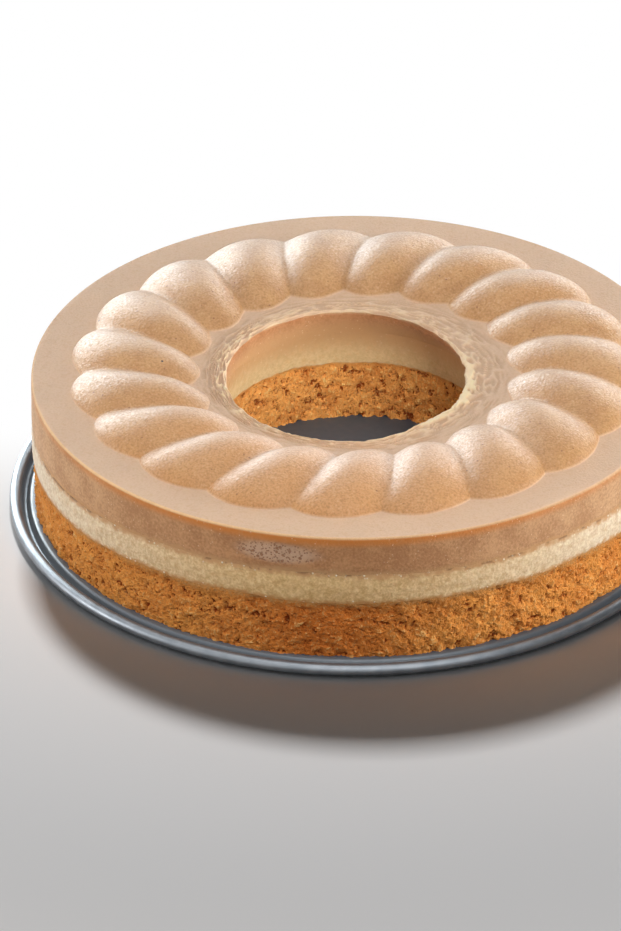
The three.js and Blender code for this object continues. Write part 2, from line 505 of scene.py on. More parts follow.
def layer_grid(angle, bottoms, tops, outer_rows, inner_rows):
    """A layer's radius and height, how far up its wall a row is, and its facing: 1 out, -1 into the hole."""
    up = np.linspace(0, 1, outer_rows)
    down = np.linspace(1, 0, inner_rows)
    side = np.linspace(0, 1, HIDDEN_ROWS + 2)[1:-1]
    outer = bottoms[0] + (tops[0] - bottoms[0]) * up
    inner = bottoms[1] + (tops[1] - bottoms[1]) * down
    bottom = bottoms[1] + (bottoms[0] - bottoms[1]) * side
    top = tops[0] + (tops[1] - tops[0]) * side
    height = np.concatenate([bottom, outer, top, inner], axis=1)
    inner_radius = hole_radius(inner)
    outward = np.broadcast_to(LOWER_RADIUS, outer.shape)
    low_radius = inner_radius[:, -1:] + (LOWER_RADIUS - inner_radius[:, -1:]) * side
    high_radius = LOWER_RADIUS + (inner_radius[:, :1] - LOWER_RADIUS) * side
    radius = np.concatenate([low_radius, outward, high_radius, inner_radius], axis=1)
    climb = np.concatenate([0 * side, up, 0 * side + 1, down])
    facing = np.concatenate([0 * side, 0 * up + 1, 0 * side, 0 * down - 1])
    return radius, height, climb, facing


print("each layer has", 2 * HIDDEN_ROWS, "hidden rows and spends the others on its walls")

# %% [markdown]
# The lowest layer is a baked crumb, and its solid already has the large clumps, which the fine mesh has to
# keep. A Shrinkwrap modifier could pull the mesh onto the solid, but its rows would bunch up on the clumps.
# So a ray along the radius finds how far the solid reaches at each point, and that number is added to the
# radius.

# %% How far the solid crumb reaches
RAY_MARGIN = 0.4 * MM


def solid_reach(angle, radius, height, facing):
    """How far the solid stands out past a radius: a ray hits its outer wall, or its wall in the hole."""
    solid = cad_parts["crumb_layer"].data
    corners = [point.co for point in solid.vertices]
    tree = BVHTree.FromPolygons(corners, [face.vertices for face in solid.polygons])
    level = np.clip(height, FLOOR_TOP + RAY_MARGIN, CRUMB_TOP - RAY_MARGIN)
    starts = placed(angle, np.where(facing > 0, 2 * CAKE_RADIUS, 0), level)
    ahead = -facing[:, None] * placed(angle, 1.0, 0.0 * level)
    reach = np.zeros(height.shape)
    for row in np.argwhere(np.broadcast_to(facing != 0, height.shape)):
        spot = tuple(row)
        hit = tree.ray_cast(Vector(starts[spot]), Vector(ahead[spot]))[0]
        if hit:
            reach[spot] = facing[row[1]] * (math.hypot(hit.x, hit.y) - radius[spot])
    return reach


front_height = np.full((1, 1), (FLOOR_TOP + CRUMB_TOP) / 2)
front_reach = solid_reach(np.zeros((1, 1)), 0 * front_height + LOWER_RADIUS, front_height, np.ones(1))
print("at the front the solid crumb stands", (front_reach / MM).round(2).item(), "mm past the wall")

# %% [markdown]
# The crumb is golden, with small gaps between its grains and a few larger pits where loose crumbs fell
# out. A bump map alone would leave its outline smooth, so the grains are real. Voronoi cells give them:
# each cell is one grain, and the border between two cells is a gap. How light each point is gets kept for
# the finish: a random tone for each grain, painted shade in the gaps and pits, and a painted highlight
# where a grain stands out. At the front the crumb was pressed smoother and gets painted shade, and under
# the cream it is soaked.

# %% Grains, gaps and pits
COARSE_GRAIN = 2.8 * MM
FINE_GRAIN = 1.4 * MM
GRAIN_DEPTH = 0.65 * MM
GAP_DEPTH = 0.6 * MM
PIT_SIZE = 3.6 * MM
PIT_DEPTH = 0.9 * MM
HOLE_LOOSER = 0.14
SMOOTHED_AT = math.radians(-6)
SMOOTHED_WIDTH = math.radians(26)
SOAK_HEIGHT = 0.22
HOLE_SOAK_HEIGHT = 0.08


def grains(places, size, shift):
    """A heap of grains of one size: 1 in the gaps between them and 0 on them, and a tone for each grain."""
    gaps, tones = [], []
    for spot in (places.reshape(-1, 3) / size + shift).tolist():
        distances, middles = noise.voronoi(Vector(spot) + 0.35 * noise.noise_vector(spot))
        gaps.append(distances[1] - distances[0])
        tones.append(noise.noise(2.3 * middles[0]))
    return ramp(np.reshape(gaps, places.shape[:-1]), 0.24, 0.03), np.reshape(tones, places.shape[:-1])


def crumb_relief(places, angle, facing, climb):
    """How far a crumb point stands out, its lightness with painted shade, how soaked, how pressed and shaded.
    """
    coarse_gap, coarse_tone = grains(places, COARSE_GRAIN, 5.0)
    fine_gap, fine_tone = grains(places, FINE_GRAIN, 9.0)
    tone = coarse_tone + fine_tone
    clump = lumps(places, 5 * MM)
    gap = np.maximum(coarse_gap * ramp(clump, -0.3, 0.2), 0.7 * fine_gap)
    loose = lumps(places, PIT_SIZE, 7.0) + 0.4 * lumps(places, FINE_GRAIN, 8.0)
    pit = ramp(loose + np.where(facing < 0, HOLE_LOOSER, 0), 0.46, 0.62)
    # at the front the crumb is pressed smoother and gets painted shade
    pressed_and_shaded = np.where(facing > 0, around(angle, SMOOTHED_AT, SMOOTHED_WIDTH), 0.0)
    soak_height = np.where(facing < 0, HOLE_SOAK_HEIGHT, SOAK_HEIGHT)
    soaked = ramp(climb + 0.5 * soak_height * lumps(places, 5 * MM, 1.0), 1 - soak_height, 1)
    rough = (1 - 0.15 * pressed_and_shaded) * (1 - 0.8 * soaked)
    out = rough * (GRAIN_DEPTH * tone - GAP_DEPTH * gap - PIT_DEPTH * pit)
    # painted shade in the gaps and pits, and a painted highlight on grains that stand out
    light = 0.66 + 0.1 * clump + 0.45 * rough * tone - (0.1 + 0.22 * rough) * gap - 0.6 * rough * pit
    return {"out": out, "light": light, "soaked": soaked, "pressed_and_shaded": pressed_and_shaded}


print("grains and pits in mm:", [round(size / MM, 1) for size in (COARSE_GRAIN, FINE_GRAIN, PIT_SIZE)])

# %% [markdown]
# Now the crumb is put together. Its grid starts as a plain ring, follows the solid's clumps, and takes on
# the grains and pits. Nothing may stand out past the caramel above it, so the sum is cut off there.

# %% Bake the crumb layer
CRUMB_STEPS = 1200
CRUMB_OUTER_ROWS = 44
CRUMB_INNER_ROWS = 30
CLUMP_COVER = 0.4 * MM


def bake_crumb():
    angle = steps_round(CRUMB_STEPS)
    bottoms = [FLOOR_TOP + 0 * angle] * 2
    rows = CRUMB_OUTER_ROWS, CRUMB_INNER_ROWS
    radius, height, climb, facing = layer_grid(angle, bottoms, crumb_seams(angle), *rows)
    marks = crumb_relief(placed(angle, radius, height), angle, facing, climb)
    reach = (CLUMP_COVER + solid_reach(angle, radius, height, facing)) * (1 - marks["soaked"])
    radius = radius + facing * np.minimum(reach + marks.pop("out"), LOWER_STEP)
    marks["climb"] = climb
    marks["inside"] = np.where(facing < 0, 1.0, 0.0)
    return ring_object("baked_crumb", placed(angle, radius, height), strips=8, **marks)


baked_crumb = bake_crumb()

# %% [markdown]
# Baked crumb is matt. Its colour follows the lightness that was kept with the mesh, from dark brown in the
# gaps, which is painted shade, through golden brown to pale grains that stand out, a painted highlight.
# Fine sand breaks up every tone. Where the cream has soaked in, the crumb is more even. In the hole it is
# painted a brighter yellow, which is painted light, and at the front it is painted darker, painted shade.

# %% Finish of the crumb
# the hole's tone is painted lighter, which is painted light
CRUMB_TO_CREAM = screen_colour(206, 148, 88)
HOLE_CRUMB_TO_CREAM = screen_colour(232, 174, 108)


def crumb_finish():
    finish = Finish("baked_crumb", Roughness=0.9, Specular_IOR_Level=0.12)
    inside = finish.mark("inside")
    sand = finish.grain(0.8 * MM, detail=4)
    light = finish.sums("ADD", finish.mark("light"), finish.climb(sand, 0.25, 0.75, -0.36, 0.36))
    # painted shade: the crumb at the front is darker
    golden = finish.blend(finish.mark("pressed_and_shaded"), screen_colour(238, 158, 76), screen_colour(218, 124, 52))
    # painted light: the crumb in the hole is brighter
    golden = finish.blend(inside, golden, screen_colour(248, 174, 92))
    patch = finish.climb(finish.grain(14 * MM, detail=3), 0.4, 0.65)
    golden = finish.blend(finish.times(patch, 0.4), golden, screen_colour(194, 102, 36))
    # pale tone of grains that stand out, a painted highlight, painted lighter still in the hole
    pale = finish.blend(inside, screen_colour(240, 184, 112), screen_colour(255, 212, 130))
    # painted shade: dark brown in the gaps and pits
    colour = finish.blend(finish.climb(light, -0.2, 0.48), screen_colour(142, 64, 22), golden)
    colour = finish.blend(finish.climb(light, 0.7, 1.2), colour, pale)
    soaked_tone = finish.blend(inside, screen_colour(202, 132, 66), screen_colour(240, 172, 98))
    colour = finish.blend(finish.times(finish.mark("soaked"), 0.6), colour, soaked_tone)
    creamed = finish.climb(finish.mark("climb"), finish.climb(inside, 0, 1, 0.86, 0.96), 1.0)
    cream_tone = finish.blend(inside, CRUMB_TO_CREAM, HOLE_CRUMB_TO_CREAM)
    colour = finish.blend(finish.ragged(creamed, 1.3 * MM), colour, cream_tone)
    return finish.wear(Base_Color=colour, Normal=finish.relief(sand, 0.8 * MM))


finished(baked_crumb, crumb_finish(), "cake", "baked_crumb", "crumb_layer")
print("the crumb rides on the cake")

# %% [markdown]
# The middle layer is a set cream. It is firm and nearly smooth, with a granular skin where it came away
# from the pan wall, and outside it bulges a little between its two seams. Its lower edge dips behind the
# crumb, so that no gap opens where the two meet.

# %% Pour the cream layer
CREAM_STEPS = 900
CREAM_OUTER_ROWS = 26
CREAM_INNER_ROWS = 20
CREAM_BULGE = 0.45 * MM
CREAM_SKIN = 0.2 * MM
# the front, where the cream and the caramel's walls are painted in shade
GLOW_AT = math.radians(-8)
GLOW_WIDTH = math.radians(74)
TUCK = 0.8 * MM


def tucked(rise):
    """From 0 above a seam to 1 a little below it, where a layer dips behind the skin of the one under it."""
    return ramp(rise, 0, -TUCK)


def pour_cream():
    angle = steps_round(CREAM_STEPS)
    bottoms = [level - TUCK for level in crumb_seams(angle)]
    rows = CREAM_OUTER_ROWS, CREAM_INNER_ROWS
    radius, height, climb, facing = layer_grid(angle, bottoms, cream_seams(angle), *rows)
    places = placed(angle, radius, height)
    skin = 0.6 * lumps(places, 7 * MM) + 0.8 * lumps(places, 1.5 * MM, 4.0)
    bulge = np.where(facing > 0, CREAM_BULGE, 0) * (1 - (2 * climb - 1) ** 2)
    rise = climb * (height.max(axis=1, keepdims=True) - height.min(axis=1, keepdims=True)) - TUCK
    out = bulge + CREAM_SKIN * skin * ramp(climb, 1, 0.9) - TUCK * tucked(rise)
    inside = np.where(facing < 0, 1.0, 0)
    front = around(angle, GLOW_AT, GLOW_WIDTH)
    places = placed(angle, radius + facing * out, height)
    return ring_object("set_cream", places, strips=8, climb=climb, inside=inside, front=front)


set_cream = pour_cream()

# %% [markdown]
# The cream is pale at the sides and yellower in the hole. At the front it is painted darker and yellower,
# which is painted shade. It has a fine grain, which curd and streaks of two sizes give it. At its lower
# edge it takes on the colour of the crumb and at its upper edge that of the caramel. A plain gradient
# would look painted, so the borders on the outside are ragged.

# %% Colour of the cream
CREAM_TO_CARAMEL = screen_colour(204, 155, 106)
HOLE_CREAM_TO_CARAMEL = screen_colour(208, 160, 110)
EDGE_TEAR = 0.35


def cream_colour(finish, tone, low_edge, high_edge):
    inside = finish.mark("inside")
    share = finish.climb(tone, 0.3, 0.7)
    side = finish.blend(share, screen_colour(215, 189, 154), screen_colour(251, 235, 208))
    # painted shade: the cream at the front is darker and yellower
    front = finish.blend(share, screen_colour(208, 164, 104), screen_colour(250, 214, 156))
    hole = finish.blend(share, screen_colour(216, 182, 128), screen_colour(236, 204, 152))
    colour = finish.blend(inside, finish.blend(finish.mark("front"), side, front), hole)
    crumb_tone = finish.blend(inside, CRUMB_TO_CREAM, HOLE_CRUMB_TO_CREAM)
    colour = finish.blend(finish.ragged(low_edge, 2.2 * MM, EDGE_TEAR), colour, crumb_tone)
    caramel_tone = finish.blend(inside, CREAM_TO_CARAMEL, HOLE_CREAM_TO_CARAMEL)
    mixed = finish.blend(inside, finish.ragged(high_edge, 3 * MM, EDGE_TEAR), high_edge)
    return finish.blend(mixed, colour, caramel_tone)


print("cream meets caramel in", [round(channel, 2) for channel in CREAM_TO_CARAMEL[:3]], "of linear light")

# %% [markdown]
# Along its seams the cream has small wet grains that catch the light, and under the caramel it has cracked
# in places and come away. Cells of noise give the grains. A crack is the thin line where a cloudy noise
# passes its middle. The cream is slightly translucent, so a little subsurface scattering keeps its shadows
# warm.

# %% Finish of the cream
def wet_grains(finish, edges):
    """Small bright grains, most of them along the seams and hardly any in the hole."""
    distance, tint = finish.cells(1.6 * MM)
    grain = finish.times(finish.climb(distance, 0.35, 0.15), finish.climb(tint, 0.55, 0.75))
    wet = finish.climb(finish.sums("ADD", edges, finish.grain(6 * MM)), 0.7, 1.3)
    return finish.times(grain, wet, finish.climb(finish.mark("inside"), 0, 1, 1, 0.15))


def seam_cracks(finish, high_edge):
    """Thin cracks in the upper edge, here and there, and hardly any in the hole."""
    fold = finish.grain(9 * MM, detail=3, stretch=(1, 1, 2.5))
    line = finish.climb(finish.sums("ABSOLUTE", finish.sums("SUBTRACT", fold, 0.5), 0.0), 0.02, 0.004)
    here = finish.climb(finish.grain(16 * MM), 0.5, 0.6)
    return finish.times(line, high_edge, here, finish.climb(finish.mark("inside"), 0, 1, 1, 0.1))


def seam_crevice_shadow(finish):
    """The painted shadow in the gap that opens in places under the caramel, outside only."""
    here = finish.climb(finish.grain(7 * MM, detail=3), 0.54, 0.62)
    outside = finish.climb(finish.mark("inside"), 0, 1, 0.65, 0)
    return finish.times(finish.climb(finish.mark("climb"), 0.9, 0.99), here, outside)


def cream_finish():
    scatter = {"Subsurface_Weight": 0.15, "Subsurface_Scale": 1.5 * MM, "Subsurface_Radius": (1.0, 0.6, 0.3)}
    finish = Finish("set_cream", Specular_IOR_Level=0.4, **scatter)
    inside, climb = finish.mark("inside"), finish.mark("climb")
    low_edge = finish.climb(climb, finish.climb(inside, 0, 1, 0.24, 0.08), 0.0)
    high_edge = finish.climb(climb, finish.climb(inside, 0, 1, 0.74, 0.2), 1.0)
    curd = finish.times(finish.grain(0.9 * MM, detail=3), 0.5)
    streak = finish.times(finish.grain(2.4 * MM, detail=4, stretch=(1, 1, 0.8)), 0.5)
    tone = finish.sums("ADD", curd, streak)
    bright = wet_grains(finish, finish.sums("ADD", low_edge, high_edge))
    crack = seam_cracks(finish, high_edge)
    colour = cream_colour(finish, tone, low_edge, high_edge)
    colour = finish.blend(bright, colour, screen_colour(255, 240, 210))
    # painted shade in the cracks
    colour = finish.blend(finish.times(crack, 0.5), colour, screen_colour(126, 84, 48))
    # painted shadow in the gap under the caramel
    colour = finish.blend(seam_crevice_shadow(finish), colour, screen_colour(122, 84, 50))
    split = finish.relief(crack, -0.3 * MM, finish.relief(tone, 0.25 * MM))
    raised = finish.relief(bright, 0.2 * MM, split)
    return finish.wear(Base_Color=colour, Roughness=finish.climb(bright, 0, 1, 0.5, 0.2), Normal=raised)


finished(set_cream, cream_finish(), "cake", "set_cream", "cream_layer")
print("the cream rides on the cake")

# %% [markdown]
# The caramel on top was set in the pan's fluted bottom and turned out, so it carries nineteen plump flutes.
# Each flute is a lobe: an arch along its length, a rounded back across it, and a crease to the next one.
# All flutes lean the same way, because each is turned a few degrees from its inner to its outer end.
# Sculpting them one by one would be slow, and an array of one flute would leave a joint at each crease. One
# formula of radius and angle gives all of them, and the whole top stays one skin.

# %% The flutes of the crown
FLUTE_COUNT = 19
CROWN_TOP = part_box("caramel_crown")[1].z
CROWN_ALLOWANCE = 0.25 * MM
FLUTE_HEIGHT = CROWN_TOP - FLAT_TOP - CROWN_ALLOWANCE
FLUTE_VALLEY = 6.2 * MM
FLUTE_SWEEP = math.radians(-9.5)
SHOULDER_WIDTH = 15 * MM
COLLAR_WIDTH = 11 * MM
CROWN_OUTER = CAKE_RADIUS - SHOULDER_WIDTH
CROWN_INNER = HOLE_LIP_RADIUS + COLLAR_WIDTH
CROWN_MIDDLE = (CROWN_OUTER + CROWN_INNER) / 2
SCALLOP = 5 * MM
OUTER_FULLNESS = 0.95
INNER_FULLNESS = 0.55
LOBE_FULLNESS = 0.85
CREASE_SOFTNESS = 0.13


def arch(share, fullness):
    """Height of an arch: 1 in its middle and 0 at a share of 1. A fuller arch ends more steeply."""
    end = np.sqrt(1 - fullness)
    return np.clip((np.sqrt(np.clip(1 - fullness * share**2, 0, None)) - end) / (1 - end), 0, None)


def across_flute(angle):
    """0 on the ridge of a flute and 1 in the creases beside it, at an angle before the flutes are swept."""
    pitch = TURN / FLUTE_COUNT
    return 2 * np.abs(angle / pitch - np.round(angle / pitch))


def flute_ends(angle):
    """Radius of the crown's inner and outer outline, which run in scallops from flute to flute."""
    scallop = SCALLOP * across_flute(angle) ** 2
    return CROWN_INNER + scallop, CROWN_OUTER - scallop


def flute_height(radius, angle):
    """How far the crown stands above the flat top, at an angle before the flutes are swept."""
    inner, outer = flute_ends(angle)
    outer_arch = arch((radius - CROWN_MIDDLE) / (outer - CROWN_MIDDLE), OUTER_FULLNESS)
    inner_arch = arch((radius - CROWN_MIDDLE) / (inner - CROWN_MIDDLE), INNER_FULLNESS)
    along = np.where(radius > CROWN_MIDDLE, outer_arch, inner_arch)
    eased_across = 1 - np.hypot(1 - across_flute(angle), CREASE_SOFTNESS)
    return along * (FLUTE_HEIGHT - FLUTE_VALLEY * (1 - arch(eased_across, LOBE_FULLNESS)))


def flute_turn(radius):
    """How far a point is turned about the axis by the lean of the flutes."""
    share = np.clip((radius - CROWN_INNER) / (CROWN_OUTER - CROWN_INNER), 0, 1)
    return FLUTE_SWEEP * (share - 0.5)


print("a flute stands", round(float(flute_height(CROWN_MIDDLE, 0.0)) / MM, 2), "mm above the flat top")

# %% [markdown]
# Round the hole the caramel tore a little when the pan's tube was drawn out of it. The tube had leaned, so
# the hole lies off the middle and is slightly oval. The lip is drawn to its own outline, which is most
# ragged at the front right, where a flap of skin hangs in, and the collar round it gets wrinkles that run
# round the hole.

# %% The torn lip
HOLE_SHIFT = np.array([-3.5, -2.4]) * MM
HOLE_HALF_WIDTH = 48 * MM
HOLE_HALF_LENGTH = 52 * MM
RAGGED_AT = math.radians(55)
RAGGED_WIDTH = math.radians(75)
FLAP_AT = math.radians(36)
FLAP_WIDTH = math.radians(26)
FLAP_REACH = 2.2 * MM
WRINKLE_LENGTH = 8 * MM
WRINKLE_WIDTH = 1.3 * MM


def lip_edge(angle):
    """Radius of the lip's inner edge: a shifted oval with a torn flap and a ragged line."""
    right, ahead = np.sin(angle), np.cos(angle)
    oval = HOLE_HALF_WIDTH * right**2 + HOLE_HALF_LENGTH * ahead**2
    shifted = oval + HOLE_SHIFT[0] * right - HOLE_SHIFT[1] * ahead
    line = placed(angle, HOLE_LIP_RADIUS, LIP_TOP)
    ragged = lumps(line, 6 * MM, 1.0) + 0.7 * lumps(line, 2 * MM, 2.0)
    depth = (0.25 + 0.8 * around(angle, RAGGED_AT, RAGGED_WIDTH)) * MM
    return shifted - FLAP_REACH * around(angle, FLAP_AT, FLAP_WIDTH) - ragged * depth


def wrinkles(angle, radius):
    """Ridges up to 1 that run round the hole."""
    bend = HOLE_LIP_RADIUS / WRINKLE_LENGTH
    return 1 - np.abs(lumps(placed(angle, bend, radius / WRINKLE_WIDTH), 1.0)) * 2


lip_sides = lip_edge(np.radians([0.0, 90.0, 180.0, 270.0])) / MM
print("the lip's edge lies at", lip_sides.round(1).tolist(), "mm from the axis: front, right, back, left")

# %% [markdown]
# The section of the caramel starts under it at the hole, runs out along the seam, up the wall, over a tight
# edge, across the flat shoulder, over the crown and the collar, round the lip and down into the hole. It is
# put together from named stretches, with rows close together where the surface turns. The crown begins and
# ends on its scalloped outline, and all rows turn with the flutes, so the lines of the grid run along the
# creases and the feet of the flutes and keep them clean.

# %% The section of the caramel
CARAMEL_STEPS = FLUTE_COUNT * 40
WALL_ROWS = 20
EDGE_ROWS = 6
SHOULDER_ROWS = 8
CROWN_ROWS = 46
COLLAR_ROWS = 25
LIP_ROWS = 7
HOLE_ROWS = 14
EDGE_ROUND = 1.2 * MM
LIP_ROUND = 1.3 * MM


def between(start, end, rows):
    """Rows from start towards end, without the end itself. Start and end may be columns of numbers."""
    return start + (end - start) * np.linspace(0, 1, rows, endpoint=False)


def caramel_stretches(angle):
    """Radius and height of the section's stretches before the flutes rise and the lip tears."""
    outside = cream_seams(angle + flute_turn(CAKE_RADIUS))[0] - TUCK
    hole_seam = cream_seams(angle + flute_turn(HOLE_LIP_RADIUS))[1]
    inside = hole_seam - TUCK
    hole_top = LIP_TOP - LIP_ROUND
    inner_end, outer_end = flute_ends(angle)
    under = between(hole_radius(inside) + TUCK, CAKE_RADIUS, HIDDEN_ROWS)
    edge = between(0, TURN / 4, EDGE_ROWS)
    crown = (1 + np.cos(between(0, TURN / 2, CROWN_ROWS))) / 2
    collar = between(inner_end, HOLE_LIP_RADIUS + LIP_ROUND, COLLAR_ROWS)
    lip = between(0, TURN / 4, LIP_ROWS)
    hole = hole_top + (hole_seam - hole_top) * np.linspace(0, 1, HOLE_ROWS)
    return {
        "under": (under, between(inside, outside, HIDDEN_ROWS)),
        "wall": (CAKE_RADIUS, between(outside, FLAT_TOP - EDGE_ROUND, WALL_ROWS)),
        "edge": (CAKE_RADIUS - EDGE_ROUND * (1 - np.cos(edge)), FLAT_TOP - EDGE_ROUND * (1 - np.sin(edge))),
        "shoulder": (between(CAKE_RADIUS - EDGE_ROUND, outer_end, SHOULDER_ROWS), FLAT_TOP),
        "crown": (inner_end + (outer_end - inner_end) * crown, FLAT_TOP),
        "collar": (collar, FLAT_TOP + (LIP_TOP - FLAT_TOP) * ramp(collar, CROWN_INNER, HOLE_LIP_RADIUS)),
        "lip": (HOLE_LIP_RADIUS + LIP_ROUND * (1 - np.sin(lip)), LIP_TOP - LIP_ROUND * (1 - np.cos(lip))),
        "hole": (hole_radius(hole), hole),
    }


def joined_stretches(angle):
    """The stretches side by side as grids of radius and height, and the name of the stretch of each row."""
    grids = {name: np.broadcast_arrays(*pair, angle)[:2] for name, pair in caramel_stretches(angle).items()}
    radius = np.concatenate([grid[0] for grid in grids.values()], axis=1)
    height = np.concatenate([grid[1] for grid in grids.values()], axis=1)
    return radius, height, np.concatenate([[name] * grid[0].shape[1] for name, grid in grids.items()])


caramel_angle = steps_round(CARAMEL_STEPS)
plain_radius, plain_height, stretch = joined_stretches(caramel_angle)
turned_angle = caramel_angle + flute_turn(plain_radius)
print("the caramel's section has", len(stretch), "rows")

# %% [markdown]
# The torn skin makes a pale band along the lip, which is widest at the right, and on the left flakes of it
# lie on the wrinkles. Between the wrinkles the collar is creased, and the creases are painted darker as
# painted shade. Both are numbers from 0 to 1, worked out once: the shape is raised or sunk by them, and
# the finish takes its colours from them.

# %% Torn skin and creases round the hole
TORN_AT = math.radians(65)
TORN_WIDTH = math.radians(80)
FLAKES_AT = math.radians(-85)
FLAKES_WIDTH = math.radians(70)
BAND_EDGE = 1.2 * MM
BAND_FADE = (2.2 * MM, 1.0 * MM)
FLAKES_FADE = (10 * MM, 3 * MM)
CREASES_FADE = (15 * MM, 7 * MM)
BELOW_LIP_FADE = (1.5 * MM, 0.5 * MM)


def torn_skin(angle, radius, below):
    """How much torn skin lies at a point of the collar, the lip or the hole's upper wall."""
    outward = radius - HOLE_LIP_RADIUS
    ridge = wrinkles(angle, radius)
    ragged = lumps(placed(angle, radius, 0), 4 * MM, 4.0)
    torn = around(angle, TORN_AT, TORN_WIDTH)
    thick = (0.4 + 2.4 * torn + 1.2 * ridge + 1.6 * ragged) * MM
    band = ramp(outward, thick, thick - BAND_EDGE) * ramp(below, *BAND_FADE)
    flaky = 0.4 + 0.5 * around(angle, FLAKES_AT, FLAKES_WIDTH)
    flakes = ramp(ridge, 0.72, 0.94) * ramp(outward, *FLAKES_FADE) * ramp(below, *BELOW_LIP_FADE)
    return np.maximum(band * (0.75 + 0.25 * ridge) * (0.5 + 0.5 * torn), flaky * flakes)


def creases(angle, radius, below):
    """How deep a point lies between the wrinkles of the collar."""
    valley = ramp(wrinkles(angle, radius), 0.85, 0.3)
    return valley * ramp(radius - HOLE_LIP_RADIUS, *CREASES_FADE) * ramp(below, *BELOW_LIP_FADE)


on_collar = np.isin(stretch, ["collar", "lip", "hole"])
below_lip = LIP_TOP - plain_height
skin = np.where(on_collar, torn_skin(turned_angle, plain_radius, below_lip), 0)
creased = np.where(on_collar, creases(turned_angle, plain_radius, below_lip), 0) * (1 - skin)
torn_share = float((skin[:, on_collar] > 0.5).mean())
print("torn skin covers", round(100 * torn_share), "percent of the collar and the hole's wall")

# %% [markdown]
# Now the plain section is shaped. The flutes rise out of the crown, the lip is drawn to its outline, the
# skin and the creases are laid on, and the whole top gets the slight unevenness of something that was
# poured. Towards the cream the wall steps in and dips behind it. More marks are kept for the finish: the
# walls, the glowing upper edge, the lit rim, the flutes, which are glossier and painted browner as painted
# shade, and the border to the cream.

# %% Turn out the caramel crown
LIP_PULL_WIDTH = 10 * MM
LIP_PULL_DEPTH = 14 * MM
SKIN_THICK = 0.8 * MM
CREASE_DEPTH = 0.4 * MM
GLOW_HEIGHT = 6 * MM
HOLE_GLOW_FADE = (9 * MM, 2 * MM)
SEAM_BLUR = 3 * MM
HOLE_SEAM_BLUR = 12 * MM
FROST_FROM = 0.8 * MM
RIM_SHINE_AT = math.radians(-40)
RIM_SHINE_WIDTH = math.radians(80)


def caramel_marks(rise, flute):
    """What the finish needs to know about each point, apart from torn skin and creases."""
    outer, edge, hole = stretch == "wall", stretch == "edge", stretch == "hole"
    # the front, where the flutes are painted lighter and the walls darker: painted light and shade
    front = around(turned_angle, GLOW_AT, GLOW_WIDTH)
    edge_share = (FLAT_TOP - plain_height) / EDGE_ROUND
    glow = np.where(outer, ramp(plain_height, FLAT_TOP - GLOW_HEIGHT, FLAT_TOP - EDGE_ROUND), 0)
    glow = np.where(edge, ramp(edge_share, 0.4, 0.9), glow) * (0.4 + 0.6 * front)
    shine = 0.25 + 0.75 * around(turned_angle, RIM_SHINE_AT, RIM_SHINE_WIDTH)
    seam_blur = np.where(hole, HOLE_SEAM_BLUR, SEAM_BLUR)
    return {
        "front": front,
        "inside": np.where(hole, 1.0, 0),
        "wall": np.where(outer | hole, 1.0, 0) + np.where(edge, ramp(edge_share, 0, 0.5), 0),
        "glow": np.where(hole, 0.22 * ramp(below_lip, *HOLE_GLOW_FADE), glow),
        "rim": np.where(edge, ramp(edge_share, 0.0, 0.1) * ramp(edge_share, 0.9, 0.4), 0) * shine,
        "near_cream": np.where(outer | hole, ramp(rise, seam_blur, 0), 0),
        "flute_gloss_and_shade": ramp(flute, 0, FROST_FROM),
    }


def turn_out_caramel():
    top = np.isin(stretch, ["shoulder", "crown", "collar", "lip"])
    outer, hole = stretch == "wall", stretch == "hole"
    walls = outer | hole
    plain = placed(turned_angle, plain_radius, plain_height)
    seam_row = np.where(hole, plain_height[:, :1], plain_height[:, HIDDEN_ROWS : HIDDEN_ROWS + 1])
    rise = plain_height - seam_row - TUCK
    uneven = 0.22 * MM * lumps(plain, 13 * MM) + 0.05 * MM * lumps(plain, 3.2 * MM, 6.0)
    uneven = np.where(walls, uneven * ramp(rise, 0, SEAM_BLUR), uneven)
    pull = ramp(plain_radius, HOLE_LIP_RADIUS + LIP_PULL_WIDTH, HOLE_LIP_RADIUS)
    pull = np.where(on_collar, pull * ramp(below_lip, LIP_PULL_DEPTH, LIP_ROUND), 0)
    step_in = LOWER_STEP * ramp(rise, SEAM_BLUR, 0) + TUCK * tucked(rise)
    radius = plain_radius + pull * (lip_edge(turned_angle) - HOLE_LIP_RADIUS)
    radius = radius + np.where(walls, uneven, 0) - np.where(outer, step_in, 0)
    flute = np.where(stretch == "crown", flute_height(plain_radius, caramel_angle), 0)
    height = plain_height + flute + np.where(top, uneven, 0) + SKIN_THICK * skin - CREASE_DEPTH * creased
    places = placed(turned_angle, radius, np.minimum(height, CROWN_TOP))
    marks = caramel_marks(rise, flute)
    return ring_object("set_caramel", places, strips=4, skin=skin, creased=creased, **marks)


set_caramel = turn_out_caramel()

# %% [markdown]
# Set caramel is smooth and dense. Its top is one tan caramel, painted paler on the flat shoulder, which is
# a painted sheen, and browner on the flutes, which is painted shade, and lighter on the flutes at the front,
# which is painted light; the flutes are also sandy. The walls are a deeper brown with a soft mottle, and
# painted deepest at the front, which is painted shade. Along the upper edge light shines through, so it
# glows orange under a thin lit rim, and towards the cream the two have mixed. Each of these is a blend over
# the one before, steered by the marks on the mesh.

